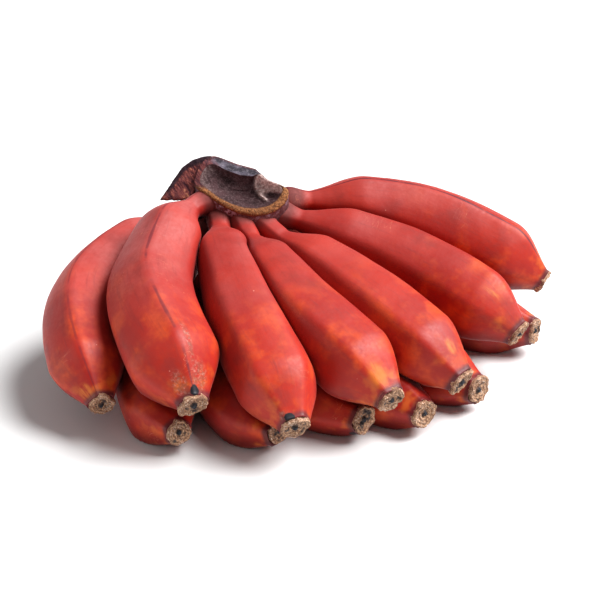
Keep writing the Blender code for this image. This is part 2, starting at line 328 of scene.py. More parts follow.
def put_map(mesh, across, along):
    """Writes the map that patterns on the skin follow: round the skin, and along it."""
    corners = np.empty(len(mesh.loops), dtype=np.int32)
    mesh.loops.foreach_get("vertex_index", corners)
    u = np.concatenate([np.tile(across, len(along)), [0.5, 0.5]])[corners]
    v = np.concatenate([np.repeat(along, len(across)), [along[0], along[-1]]])[corners]
    starts = np.empty(len(mesh.polygons), dtype=np.int32)
    totals = np.empty(len(mesh.polygons), dtype=np.int32)
    mesh.polygons.foreach_get("loop_start", starts)
    mesh.polygons.foreach_get("loop_total", totals)
    face_of = np.repeat(np.arange(len(starts)), totals)
    widest = np.maximum.reduceat(u, starts) - np.minimum.reduceat(u, starts)
    u = np.where((widest[face_of] > 0.5) & (u < 0.5), u + 1.0, u)
    sheet = mesh.uv_layers.new(name="skin_map")
    sheet.data.foreach_set("uv", np.stack([u, v], axis=1).astype(np.float32).ravel())


def lumps(points, size, seed):
    """Smooth random values between about -1 and 1 at each point."""
    shift = Vector((seed * 7.1, seed * 3.3, seed * 5.7))
    flat = points.reshape(-1, 3)
    values = [noise.noise(Vector(p) / size + shift) for p in flat]
    return np.array(values).reshape(points.shape[:-1])


# ---------------------------------------------------------------- materials

class Graph:
    """Short calls for laying out a material's nodes."""

    def __init__(self, name):
        self.material = bpy.data.materials.new(name)
        self.material.use_nodes = True
        self.nodes = self.material.node_tree.nodes
        self.links = self.material.node_tree.links
        self.shader = self.nodes["Principled BSDF"]

    def feed(self, socket, value):
        if isinstance(value, bpy.types.NodeSocket):
            self.links.new(value, socket)
        elif value is not None:
            socket.default_value = value

    def math(self, operation, a, b=None):
        node = self.nodes.new("ShaderNodeMath")
        node.operation = operation
        self.feed(node.inputs[0], a)
        self.feed(node.inputs[1], b)
        return node.outputs[0]

    def times(self, first, *others):
        for other in others:
            first = self.math("MULTIPLY", first, other)
        return first

    def plus(self, a, b):
        return self.math("ADD", a, b)

    def band(self, value, low, high, out_low=0.0, out_high=1.0):
        """A soft step from one value to another while the input goes from low to high."""
        node = self.nodes.new("ShaderNodeMapRange")
        node.interpolation_type = "SMOOTHSTEP"
        self.feed(node.inputs["Value"], value)
        limits = {"From Min": low, "From Max": high, "To Min": out_low, "To Max": out_high}
        for key, number in limits.items():
            self.feed(node.inputs[key], number)
        return node.outputs["Result"]

    def mix(self, share, a, b, blend="MIX"):
        node = self.nodes.new("ShaderNodeMix")
        node.data_type = "RGBA"
        node.blend_type = blend
        self.feed(node.inputs[0], share)
        self.feed(node.inputs[6], (*a, 1.0) if isinstance(a, tuple) else a)
        self.feed(node.inputs[7], (*b, 1.0) if isinstance(b, tuple) else b)
        return node.outputs[2]

    def attribute(self, name):
        node = self.nodes.new("ShaderNodeAttribute")
        node.attribute_name = name
        return node.outputs["Fac"]

    def place(self):
        return self.nodes.new("ShaderNodeTexCoord").outputs["Object"]

    def skin_map(self):
        node = self.nodes.new("ShaderNodeUVMap")
        node.uv_map = "skin_map"
        return node.outputs["UV"]

    def stretch(self, vector, scale):
        node = self.nodes.new("ShaderNodeMapping")
        self.feed(node.inputs["Vector"], vector)
        node.inputs["Scale"].default_value = scale
        return node.outputs["Vector"]

    def turn(self, vector, angles):
        node = self.nodes.new("ShaderNodeMapping")
        self.feed(node.inputs["Vector"], vector)
        node.inputs["Rotation"].default_value = angles
        return node.outputs["Vector"]

    def noise(self, vector, scale, detail=3.0, rough=0.55, seed=None):
        node = self.nodes.new("ShaderNodeTexNoise")
        node.noise_dimensions = "4D" if seed is not None else "3D"
        self.feed(node.inputs["Vector"], vector)
        node.inputs["Scale"].default_value = scale
        node.inputs["Detail"].default_value = detail
        node.inputs["Roughness"].default_value = rough
        if seed is not None:
            self.feed(node.inputs["W"], seed)
        return node.outputs["Fac"]

    def dots(self, vector, scale, seed):
        """Distance to the nearest of many scattered points, and that point's own random colour."""
        node = self.nodes.new("ShaderNodeTexVoronoi")
        node.voronoi_dimensions = "4D"
        self.feed(node.inputs["Vector"], vector)
        node.inputs["Scale"].default_value = scale
        self.feed(node.inputs["W"], seed)
        return node.outputs["Distance"], node.outputs["Color"]

    def split(self, vector):
        node = self.nodes.new("ShaderNodeSeparateXYZ")
        self.feed(node.inputs[0], vector)
        return node.outputs

    def bump(self, height, strength, distance, below=None):
        node = self.nodes.new("ShaderNodeBump")
        node.inputs["Strength"].default_value = strength
        node.inputs["Distance"].default_value = distance
        self.feed(node.inputs["Height"], height)
        if below is not None:
            self.feed(node.inputs["Normal"], below)
        return node.outputs["Normal"]

    def finish(self, colour, roughness, normal, **constants):
        self.feed(self.shader.inputs["Base Color"], colour)
        self.feed(self.shader.inputs["Roughness"], roughness)
        self.feed(self.shader.inputs["Normal"], normal)
        for name, value in constants.items():
            self.shader.inputs[name.replace("_", " ")].default_value = value
        return self.material


# The peel's main colours, as linear red, green and blue.
BRICK_DARK = (0.37, 0.013, 0.006)
BRICK = (0.47, 0.024, 0.008)
ORANGE = (0.66, 0.085, 0.012)
BLOOM_AND_HIGHLIGHT_PINK = (0.46, 0.125, 0.118)
PAINTED_SHADE_RED = (0.13, 0.003, 0.002)
RIND_YELLOW = (0.74, 0.20, 0.028)
NECK_BROWN = (0.17, 0.042, 0.038)
EDGE_PURPLE = (0.13, 0.018, 0.030)
LENTICEL = (0.80, 0.36, 0.28)
MARK_BLACK = (0.012, 0.010, 0.016)


def peel_material():
    """Red peel: brick red and orange patches under a dusty pink bloom, partly a painted highlight on
    upward faces, painted shade in creases and underneath, specks, scuffs and edge lines.
    """
    g = Graph("banana_peel")
    place, skin = g.place(), g.skin_map()
    seed, top = g.attribute("seed"), g.attribute("top")
    along, tip, neck = g.attribute("along"), g.attribute("tip"), g.attribute("neck")
    u, v, _ = g.split(skin)

    broad = g.noise(place, 28.0, 2.0, 0.5, seed)
    patch = g.noise(place, 55.0, 3.0, 0.6, seed)
    fine = g.noise(place, 420.0, 4.0, 0.65, seed)
    grain = g.noise(g.stretch(skin, (70.0, 9.0, 1.0)), 1.0, 4.0, 0.6, seed)

    colour = g.mix(g.band(broad, 0.35, 0.65), BRICK_DARK, BRICK)
    ripe = g.times(g.band(along, 0.30, 0.80), g.band(patch, 0.45, 0.68))
    colour = g.mix(g.times(ripe, 0.85), colour, ORANGE)
    # The pink is partly real wax bloom and partly a painted highlight: it lies only on upward faces, where
    # the light falls.
    cloudy = g.band(g.noise(place, 40.0, 4.0, 0.65, seed), 0.30, 0.70, 0.35, 1.0)
    bloom_and_highlight = g.times(g.band(top, 0.0, 0.90), g.band(along, 1.0, 0.25), g.attribute("dusty"), cloudy)
    colour = g.mix(g.times(bloom_and_highlight, 0.56), colour, BLOOM_AND_HIGHLIGHT_PINK)
    colour = g.mix(g.band(fine, 0.30, 0.75, 0.0, 0.30), colour, (0.36, 0.035, 0.028))
    colour = g.mix(g.band(grain, 0.50, 0.76, 0.0, 0.42), colour, (0.26, 0.030, 0.028))
    dusky = g.noise(g.stretch(place, (48.0, 48.0, 70.0)), 1.0, 4.0, 0.6, seed)
    colour = g.mix(g.band(dusky, 0.50, 0.72, 0.0, 0.50), colour, (0.25, 0.030, 0.026))

    # Painted shade: where bananas press together, and on their undersides, the peel is darkened to a deep
    # red.
    painted_shade = g.times(g.attribute("contact_shade"), g.band(top, 0.75, 0.10))
    painted_shade = g.math("MAXIMUM", painted_shade, g.band(top, 0.05, -0.70))
    colour = g.mix(g.times(painted_shade, 0.72), colour, PAINTED_SHADE_RED)

    # Yellow blotches and a purple ring where the peel draws in to the tip.
    speckle = g.noise(place, 95.0, 3.0, 0.5, seed)
    blotch = g.times(g.band(tip, 0.15, 0.75), g.band(speckle, 0.50, 0.66))
    colour = g.mix(g.times(blotch, 0.50), colour, RIND_YELLOW)
    frayed = g.band(g.noise(g.stretch(skin, (26.0, 9.0, 1.0)), 1.0, 4.0, 0.7, seed), 0.36, 0.56)
    yellow = g.times(g.attribute("yellow"), frayed, 0.65)
    colour = g.mix(yellow, colour, (0.68, 0.21, 0.032))
    ring = g.times(g.band(tip, 0.80, 0.97), g.band(patch, 0.25, 0.60, 0.55, 1.0))
    colour = g.mix(g.times(ring, 0.85), colour, (0.085, 0.022, 0.030))

    # The neck darkens to a purple brown where it grows out of the crown.
    root = g.times(g.band(neck, 0.0, 1.0), g.band(fine, 0.20, 0.70, 0.75, 1.0))
    colour = g.mix(root, colour, NECK_BROWN)

    # Dark lines along the strongest edge, and short hair-thin scratches.
    edge = g.math("ABSOLUTE", g.math("SUBTRACT", g.math("FRACT", u), 0.5))
    wander = g.times(g.math("SUBTRACT", g.noise(place, 70.0, 2.0, 0.5, seed), 0.5), 0.010)
    line = g.band(g.math("ABSOLUTE", g.plus(edge, wander)), 0.0075, 0.0020)
    broken = g.band(g.noise(g.stretch(skin, (2.0, 13.0, 1.0)), 1.0, 3.0, 0.6, seed), 0.34, 0.52)
    line = g.times(line, broken, g.attribute("edge_line"))
    colour = g.mix(line, colour, EDGE_PURPLE)
    hair = g.noise(g.stretch(skin, (9.0, 60.0, 1.0)), 1.0, 1.0, 0.4, seed)
    hair = g.band(g.math("ABSOLUTE", g.math("SUBTRACT", hair, 0.5)), 0.006, 0.0)
    hair = g.times(hair, g.band(g.noise(place, 34.0, 1.0, 0.5, seed), 0.60, 0.68))
    colour = g.mix(g.times(hair, 0.6), colour, (0.70, 0.25, 0.14))

    # Pale lenticels and dark specks.
    near, pick = g.dots(place, 230.0, seed)
    pick_r, pick_g, _ = g.split(pick)
    spot = g.times(g.band(near, 0.13, 0.05), g.band(pick_r, 0.84, 0.88))
    colour = g.mix(g.times(spot, 0.65), colour, LENTICEL)
    dark = g.times(g.band(near, 0.16, 0.06), g.band(pick_g, 0.93, 0.96))
    colour = g.mix(g.times(dark, 0.7), colour, (0.13, 0.03, 0.03))

    # Scuffs, pale where the skin is worn and brown between, and black marks with ragged edges.
    scuff = g.attribute("scuff")
    worn = g.times(scuff, g.band(g.noise(place, 520.0, 5.0, 0.75, seed), 0.46, 0.66))
    colour = g.mix(g.times(worn, 0.65), colour, (0.66, 0.34, 0.28))
    brown = g.times(scuff, g.band(fine, 0.60, 0.45, 0.0, 0.6))
    colour = g.mix(brown, colour, (0.22, 0.07, 0.045))
    stain = g.times(g.math("SUBTRACT", g.noise(place, 240.0, 3.0, 0.6, seed), 0.5), 1.3)
    black = g.band(g.plus(g.attribute("black"), stain), 0.50, 0.80)
    colour = g.mix(black, colour, MARK_BLACK)

    height = g.plus(g.times(grain, 0.5), g.times(fine, 0.35))
    height = g.plus(height, g.times(spot, 0.5))
    normal = g.bump(height, 0.30, 0.0004)
    normal = g.bump(g.noise(place, 120.0, 2.0, 0.5, seed), 0.22, 0.0012, normal)
    rough = g.plus(g.band(fine, 0.25, 0.75, 0.45, 0.58), g.times(bloom_and_highlight, 0.10))
    rough = g.plus(rough, g.times(root, 0.20))
    return g.finish(
        colour, rough, normal,
        Sheen_Weight=0.12, Sheen_Roughness=0.40, Sheen_Tint=(1.0, 0.72, 0.76, 1.0),
        Specular_IOR_Level=0.45,
    )


def cork_material():
    """The corky blossom end: tan rings with dark cracks round a black middle."""
    g = Graph("corky_tip")
    place = g.place()
    seed = g.attribute("seed")
    spread = g.attribute("spread")
    fibre = g.noise(place, 1100.0, 5.0, 0.7, seed)
    clod = g.noise(place, 420.0, 3.0, 0.6, seed)
    broad = g.noise(place, 170.0, 2.0, 0.5, seed)
    rings = g.math("SINE", g.times(g.plus(spread, g.times(broad, 0.6)), 27.0))
    colour = g.mix(g.band(fibre, 0.36, 0.62), (0.27, 0.130, 0.075), (0.70, 0.44, 0.28))
    colour = g.mix(g.band(rings, 0.0, 0.9, 0.0, 0.55), colour, (0.15, 0.075, 0.055))
    cracks = g.times(g.band(clod, 0.54, 0.62), g.band(spread, 0.92, 0.40, 0.30, 1.0))
    colour = g.mix(g.times(cracks, 0.75), colour, (0.060, 0.038, 0.036))
    pale = g.times(g.band(fibre, 0.50, 0.64), g.band(broad, 0.46, 0.58))
    colour = g.mix(g.times(pale, 0.65), colour, (0.76, 0.66, 0.60))
    bruise = g.times(g.band(broad, 0.46, 0.36), g.band(spread, 0.95, 0.70))
    colour = g.mix(g.times(bruise, 0.9), colour, (0.030, 0.030, 0.038))
    colour = g.mix(g.band(spread, 0.30, 0.16), colour, (0.034, 0.036, 0.046))
    colour = g.mix(g.band(spread, 1.0, 1.012, 0.0, 0.5), colour, (0.16, 0.05, 0.04))
    normal = g.bump(g.plus(fibre, g.times(rings, 0.25)), 0.9, 0.0009)
    return g.finish(colour, g.band(clod, 0.45, 0.60, 0.80, 0.35), normal, Specular_IOR_Level=0.40)


def crown_material():
    """Dried crown: dusty dark hollow, slate bevel, corky rim, scraped red-brown heel, purple wall."""
    g = Graph("crown_bark")
    place, skin = g.place(), g.skin_map()
    coarse = g.noise(place, 130.0, 4.0, 0.65)
    fine = g.noise(place, 620.0, 5.0, 0.7)
    grit = g.noise(place, 1900.0, 3.0, 0.6)
    rim, hollow, slate = g.attribute("rim"), g.attribute("hollow"), g.attribute("slate")
    pale, scrape, wall = g.attribute("pale"), g.attribute("scrape"), g.attribute("wall")

    colour = g.mix(g.band(fine, 0.35, 0.65), (0.022, 0.010, 0.016), (0.060, 0.028, 0.038))
    dust = g.mix(g.band(coarse, 0.35, 0.65), (0.034, 0.013, 0.015), (0.080, 0.035, 0.039))
    dust = g.mix(g.band(fine, 0.45, 0.70), dust, (0.135, 0.084, 0.088))
    colour = g.mix(hollow, colour, dust)
    mealy = g.times(hollow, g.band(grit, 0.56, 0.68))
    colour = g.mix(g.times(mealy, 0.22), colour, (0.50, 0.38, 0.38))
    stone = g.mix(g.band(coarse, 0.40, 0.62), (0.040, 0.033, 0.044), (0.140, 0.120, 0.155))
    stone = g.mix(g.band(fine, 0.50, 0.72), stone, (0.25, 0.22, 0.25))
    colour = g.mix(slate, colour, stone)
    chalk = g.mix(g.band(fine, 0.35, 0.65), (0.34, 0.21, 0.19), (0.80, 0.64, 0.60))
    colour = g.mix(g.times(pale, g.band(coarse, 0.25, 0.55, 0.55, 1.0)), colour, chalk)
    slanted = g.turn(place, (0.0, math.radians(-45.0), 0.0))
    streak = g.noise(g.stretch(slanted, (70.0, 200.0, 620.0)), 1.0, 4.0, 0.65)
    torn = g.mix(g.band(streak, 0.36, 0.62), (0.070, 0.020, 0.028), (0.27, 0.078, 0.068))
    splinter = g.plus(streak, g.times(fine, 0.25))
    torn = g.mix(g.band(splinter, 0.72, 0.82), torn, (0.56, 0.25, 0.14))
    colour = g.mix(scrape, colour, torn)
    skin_tone = g.mix(g.band(fine, 0.40, 0.60), (0.135, 0.050, 0.055), (0.235, 0.100, 0.105))
    colour = g.mix(wall, colour, skin_tone)
    speck = g.times(g.attribute("latex"), g.band(g.noise(place, 420.0, 4.0, 0.65), 0.47, 0.58))
    colour = g.mix(g.times(speck, 0.85), colour, (0.58, 0.50, 0.60))
    fibre = g.noise(g.stretch(skin, (150.0, 16.0, 1.0)), 1.0, 4.0, 0.7)
    cork = g.mix(g.band(fibre, 0.36, 0.66), (0.085, 0.028, 0.013), (0.46, 0.195, 0.075))
    cork = g.mix(g.band(grit, 0.50, 0.68), cork, (0.48, 0.25, 0.12))
    colour = g.mix(rim, colour, cork)

    height = g.plus(g.times(fine, 0.8), g.times(coarse, 0.8))
    height = g.plus(height, g.times(fibre, rim, 1.2))
    height = g.plus(height, g.times(streak, scrape, 1.4))
    normal = g.bump(height, 0.75, 0.0010)
    normal = g.bump(grit, 0.35, 0.0003, normal)
    return g.finish(colour, g.band(fine, 0.3, 0.7, 0.62, 0.88), normal, Specular_IOR_Level=0.28)


# ---------------------------------------------------------------- the bananas

@dataclass
class Mark:
    """A blemish on one banana's peel: where it lies and how big it is."""

    banana: str
    kind: str
    from_tip: float  # distance back from the tip
    angle: float  # the same angle as a banana's edge
    length: float
    width: float


MARKS = (
    Mark("banana_upper_1", "yellow", 4.0, 40.0, 8.0, 8.0),
    Mark("banana_upper_2", "black", 1.0, 92.0, 6.0, 5.0),
    Mark("banana_upper_2", "scuff", 7.0, 112.0, 13.0, 10.0),
    Mark("banana_upper_2", "scuff", 6.0, 60.0, 12.0, 8.0),
    Mark("banana_upper_2", "scuff", 24.0, 98.0, 22.0, 3.5),
    Mark("banana_upper_3", "black", 0.0, 66.0, 5.0, 6.0),
    Mark("banana_upper_3", "scuff", 2.0, 50.0, 4.0, 5.0),
    Mark("banana_upper_4", "yellow", 9.0, 66.0, 13.0, 9.0),
    Mark("banana_upper_4", "black", 1.0, -75.0, 4.0, 6.0),
    Mark("banana_upper_5", "yellow", 13.0, 88.0, 8.0, 5.0),
    Mark("banana_upper_6", "yellow", 22.0, 70.0, 9.0, 5.0),
    Mark("banana_lower_3", "black", 2.0, -60.0, 5.0, 6.0),
)


def peel_grids(banana, cores):
    """Everything the peel's skin needs, ring by ring and side by side."""
    _, length = centreline(banana, [0.0])
    peel_end = 1.0 - (STUB_LENGTH - 1.0) / length
    even = np.linspace(0.0, 1.0, PEEL_RINGS)
    shares = (0.7 * even + 0.3 * (0.5 - 0.5 * np.cos(math.pi * even))) * peel_end
    angles = even_angles(PEEL_SIDES)
    centres, _ = centreline(banana, shares)
    travel = shares * length
    radii = thickness(banana, travel, length)

    coarse_shares = np.interp(np.linspace(0, PEEL_RINGS - 1, PRESS_RINGS), np.arange(PEEL_RINGS), shares)
    coarse_angles = even_angles(PRESS_SIDES)
    coarse_radii = thickness(banana, coarse_shares * length, length)
    coarse_reach = coarse_radii[:, None] * facet_section(coarse_angles, banana.edge, 0.6)[None, :]
    coarse = press_shares(banana, coarse_shares, coarse_angles, coarse_reach, coarse_radii, cores)
    # Near the crown the necks grow into one another instead of giving way.
    grown_together = 0.85 * (1.0 - ease((coarse_shares * length - 10.0) / 18.0))
    coarse = coarse + (1.0 - coarse) * grown_together[:, None]
    coarse = (np.roll(coarse, 1, axis=1) + 2 * coarse + np.roll(coarse, -1, axis=1)) / 4
    pressed = stretch_grid(coarse, PEEL_RINGS, PEEL_SIDES)
    # Where neighbours press the peel: used only to paint shade into the peel's colour.
    contact_shade = ease((1.0 - coarse) / 0.10)
    for _ in range(CONTACT_SHADE_BLURS):
        contact_shade = (np.roll(contact_shade, 1, axis=1) + contact_shade + np.roll(contact_shade, -1, axis=1)) / 3
    contact_shade = stretch_grid(contact_shade, PEEL_RINGS, PEEL_SIDES)

    crisp = 0.30 + 0.14 * ease((travel - banana.stem) / 30.0)
    section = np.stack([facet_section(angles, banana.edge, c) for c in crisp])
    reach = radii[:, None] * section * pressed

    # The shoulder stands over the neck in a soft crease, and the peel's lip draws in at the tip.
    crease = np.exp(-(((travel - banana.stem - 2.0) / 2.4) ** 2))
    reach *= 1.0 - CREASE_DEPTH * crease[:, None]
    back = length - STUB_LENGTH - travel
    near_tip = np.exp(-np.clip(back, 0, None) / 9.0)[:, None]
    reach *= 1.0 + 0.03 * np.cos(FACETS * (angles[None, :] - math.radians(banana.edge))) * near_tip

    rings = tube_points(centres, reach, angles)
    dents = lumps(rings, 26.0, banana.seed) * 0.45 + lumps(rings, 9.0, banana.seed + 3) * 0.12
    reach = reach + dents * ease(travel / 30.0)[:, None]
    rings = tube_points(centres, reach, angles)
    rings[:, :, 2] = np.maximum(rings[:, :, 2], TABLE_GAP)
    return length, shares, travel, angles, centres, reach, rings, contact_shade


def marks_on(banana, travel, length, angles, reach, kind):
    """How strongly the marks of one kind cover each vertex."""
    cover = np.zeros(reach.shape)
    for mark in MARKS:
        if mark.banana != banana.name or mark.kind != kind:
            continue
        down = (length - STUB_LENGTH - mark.from_tip - travel)[:, None] / (mark.length / 2)
        turn = (angles - math.radians(mark.angle) + math.pi) % (2 * math.pi) - math.pi
        across = turn[None, :] * reach / (mark.width / 2)
        cover = np.maximum(cover, 1.0 - ease((np.hypot(down, across) - 0.6) / 0.8))
    return cover


def build_banana(banana, cores, peel, cork):
    """One banana: its peel with everything the material reads, then its corky tip."""
    length, shares, travel, angles, centres, reach, rings, contact_shade = peel_grids(banana, cores)
    lip = centres[-1] - unit(centres[-1] - centres[-2]) * 2.0
    inner = [rings[-1] * s + centres[-1] * (1 - s) for s in (0.93, 0.80)]
    inner[1] = inner[1] - unit(centres[-1] - centres[-2]) * 1.2
    skin_rings = list(rings) + inner
    work = loft(skin_rings, centres[0], lip)

    grid = np.ones(reach.shape)
    outward = rings - centres[:, None, :]
    top = outward[:, :, 2] / np.linalg.norm(outward, axis=2)
    tip = np.exp(-np.clip(length - STUB_LENGTH - travel, 0, None) / 14.0)
    neck = 1.0 - ease((travel - 10.0) / 12.0)
    rows = {
        "seed": grid * banana.seed * 1.7,
        "along": shares[:, None] * grid,
        "tip": tip[:, None] * grid,
        "neck": neck[:, None] * grid,
        "top": top,
        "contact_shade": contact_shade,
        "dusty": grid * banana.dusty,
        "edge_line": grid * banana.edge_line,
        "black": marks_on(banana, travel, length, angles, reach, "black"),
        "yellow": marks_on(banana, travel, length, angles, reach, "yellow"),
        "scuff": marks_on(banana, travel, length, angles, reach, "scuff"),
    }
    columns = {name: np.concatenate([values, values[-1:], values[-1:]]) for name, values in rows.items()}
    around = ((angles - math.radians(banana.edge)) / (2 * math.pi) + 0.5) % 1.0
    down = np.concatenate([shares, [shares[-1], shares[-1]]])
    add_piece(banana.name + "_peel", work, peel, [banana.name], columns, around, down)
    build_stub(banana, centres, reach, cork)


def build_stub(banana, centres, reach, cork):
    """The corky end that sticks out of the peel: a rough dished disc with a black nub."""
    forward, side, up = (axis[-1] for axis in axes_along(centres))
    angles = even_angles(TIP_SIDES)
    radius = float(np.mean(reach[-1])) * 0.96
    # How far out each ring stands, as a share of the radius, and how far past the peel's lip.
    profile = (
        (0.86, -2.4), (0.97, -0.9), (1.00, 0.2), (1.01, 0.9), (1.00, 1.5), (0.96, 1.95), (0.90, 2.1),
        (0.84, 1.95), (0.78, 1.55), (0.72, 1.45), (0.66, 1.6), (0.60, 1.4), (0.54, 1.05), (0.48, 0.95),
        (0.42, 1.1), (0.36, 0.9), (0.30, 0.55), (0.25, 0.45), (0.21, 0.7), (0.18, 1.4), (0.15, 1.9),
        (0.10, 2.15),
    )
    rings = []
    wobble = np.array([
        noise.noise(Vector((math.cos(a) * 1.2, math.sin(a) * 1.2, banana.seed * 2.3)))
        + 0.5 * noise.noise(Vector((math.cos(a) * 4.0, math.sin(a) * 4.0, banana.seed * 5.1)))
        for a in angles
    ])
    for share, out in profile:
        flat = share * radius * (1.0 + 0.22 * wobble * ease(np.array(share) / 0.7))
        sideways, upwards = np.cos(angles) * flat, np.sin(angles) * flat
        ring = centres[-1] + side * sideways[:, None] + up * upwards[:, None]
        rough = lumps(ring, 2.6, banana.seed) + lumps(ring, 1.0, banana.seed + 5) * 0.35
        rough *= 0.35 if share > 0.97 else 1.0
        rings.append(ring + forward * (out + rough)[:, None])
    work = loft(rings, centres[-1] - forward * 2.6, centres[-1] + forward * 2.2)
    ones = np.ones(TIP_SIDES)
    add_piece(banana.name + "_corky_tip", work, cork, [banana.name], {
        "spread": [ones * share for share, _ in profile],
        "seed": [ones * banana.seed for _ in profile],
    })


# ---------------------------------------------------------------- the crown

# The crown is drawn on a leaning plane: right, up the plane, and out of it towards the front.
LEAN = math.radians(62.0)
RIGHT = np.array([1.0, 0.0, 0.0])
UP = np.array([0.0, math.cos(LEAN), math.sin(LEAN)])
OUT = np.array([0.0, -math.sin(LEAN), math.cos(LEAN)])
FACE_MIDDLE = np.array([-0.6, -11.5, 99.5])
FACE_FALL = 0.30  # how fast the face runs back as it rises
DEEPER = unit(np.array([0.0, 0.35, -0.94]))  # from the face into the crown's body

# Outlines on that plane, in millimetres right and up.
OUTER_EDGE = (
    (27.9, -1.5), (26.7, 0.9), (22.4, 3.1), (15.2, 5.8), (10.9, 10.0), (7.3, 13.3), (3.0, 14.5),
    (-4.3, 16.5), (-14.0, 20.4), (-18.9, 21.8), (-23.7, 19.1), (-27.4, 13.1), (-29.8, 5.8), (-29.2, 1.5),
    (-23.7, -2.4), (-17.7, -6.7), (-10.4, -11.2), (-1.9, -14.9), (6.6, -16.4), (15.2, -15.1),
    (20.0, -13.1), (24.9, -9.1), (27.3, -5.2),
)
HOLLOW_EDGE = (
    (23.9, 0.3), (22.4, 2.1), (17.6, 4.0), (11.5, 7.0), (9.1, 9.7), (5.4, 8.2), (-1.9, 8.8), (-10.4, 11.9),
    (-17.0, 15.7), (-20.7, 15.7), (-23.7, 13.1), (-26.2, 8.2), (-26.2, 4.3), (-21.3, 0.3), (-14.0, -5.2),
    (-6.7, -8.8), (0.6, -11.0), (7.9, -11.5), (15.2, -10.0), (20.0, -7.0), (23.1, -2.7),
)
HEEL_MIDDLE = (-35.0, 6.0)
HEEL_EDGE = (
    (-51.9, -6.1), (-48.0, -0.9), (-43.2, 7.0), (-38.3, 14.3), (-31.6, 19.1), (-24.9, 21.2), (-19.4, 21.4),
    (-20.5, 16.0), (-25.0, 8.6), (-28.5, 0.9), (-32.0, -5.4), (-38.3, -6.2), (-44.4, -6.0),
)
LOBE_RIDGE = ((10.6, 9.6), (8.2, 7.2), (7.7, 2.6), (10.0, -2.7), (13.9, -6.0))

# The face's rings. Below the edge: how deep each lies, and its size as a share of the outer edge.
FACE_BODY = (
    (29.0, 0.30), (28.0, 0.46), (26.0, 0.60), (23.0, 0.72), (19.0, 0.82), (15.0, 0.92), (11.0, 1.0),
    (8.0, 1.05), (6.0, 1.065), (4.4, 1.06), (3.0, 1.04), (1.8, 1.02), (0.8, 1.0),
)
# Over the rim: share of the way from the outer edge to the hollow's, and how far it rises.
FACE_RIM = ((0.0, 0.0), (0.10, 0.55), (0.26, 0.85), (0.45, 0.95), (0.64, 0.85), (0.80, 0.55), (0.92, 0.1))
# Across the hollow: share of the hollow's edge.
FLOOR_SHARES = (
    1.0, 0.97, 0.93, 0.88, 0.82, 0.76, 0.70, 0.63, 0.56, 0.49, 0.42, 0.35, 0.28, 0.21, 0.14, 0.07,
)
# The heel's rings: share of its reach, and how far behind its face.
HEEL_PROFILE = (
    (0.25, 15.0), (0.50, 14.5), (0.72, 13.0), (0.86, 10.5), (0.94, 7.5), (0.985, 4.5), (1.0, 2.4),
    (0.995, 1.2), (0.97, 0.5), (0.93, 0.1), (0.88, -0.1), (0.82, -0.1), (0.75, 0.0), (0.67, 0.2),
    (0.59, 0.35), (0.50, 0.45), (0.41, 0.5), (0.32, 0.5), (0.23, 0.5), (0.14, 0.5), (0.07, 0.5),
)


def closed_outline(points, middle, angles, soften):
    """Distance from the middle to a closed outline at each angle, its corners softened."""
    flat = np.array(points) - np.array(middle)
    turn = np.degrees(np.arctan2(flat[:, 1], flat[:, 0])) % 360
    order = np.argsort(turn)
    turn, flat = turn[order], flat[order]
    turn = np.concatenate([turn[-1:] - 360, turn, turn[:1] + 360])
    flat = np.concatenate([flat[-1:], flat, flat[:1]])
    fine = np.arange(0.0, 360.0, 0.5)
    # Walk the straight runs between the points, then read the reach at even angles.
    steps = np.linspace(0.0, 1.0, 40, endpoint=False)[:, None]
    walk = np.concatenate([flat[k] + (flat[k + 1] - flat[k]) * steps for k in range(len(flat) - 1)])
    walk_turn = np.degrees(np.arctan2(walk[:, 1], walk[:, 0])) % 360
    order = np.argsort(walk_turn)
    reach = np.interp(fine, walk_turn[order], np.hypot(*walk.T)[order], period=360)
    window = np.hanning(2 * int(soften) + 3)
    window /= window.sum()
    half = len(window) // 2
    padded = np.concatenate([reach[-half:], reach, reach[:half]])
    smooth = np.convolve(padded, window, mode="valid")
    return np.interp(np.degrees(angles) % 360, fine, smooth, period=360)


def band_of_angles(angles, start, finish, soft):
    """1 between two angles going anticlockwise, 0 elsewhere, softened at both ends."""
    middle, half = (start + finish) / 2, (finish - start) / 2
    off = np.abs((np.degrees(angles) - middle + 180.0) % 360.0 - 180.0)
    return 1.0 - ease((off - half + soft) / (2 * soft))


def on_plane(across, up, out):
    return (
        FACE_MIDDLE
        + RIGHT * np.asarray(across)[..., None]
        + UP * np.asarray(up)[..., None]
        + OUT * np.asarray(out)[..., None]
    )


def distance_to_line(across, up, line):
    best = np.full(np.shape(across), np.inf)
    for (x0, y0), (x1, y1) in zip(line[:-1], line[1:]):
        run = np.array([x1 - x0, y1 - y0])
        t = np.clip(((across - x0) * run[0] + (up - y0) * run[1]) / (run @ run), 0.0, 1.0)
        best = np.minimum(best, np.hypot(across - x0 - t * run[0], up - y0 - t * run[1]))
    return best


def add_crown_piece(name, points, marks, angles, bark):
    work = loft(list(points), points[0].mean(axis=0), points[-1].mean(axis=0))
    add_piece(name, work, bark, ["crown"], marks, angles / (2 * math.pi),
              np.linspace(0.0, 1.0, len(points)))


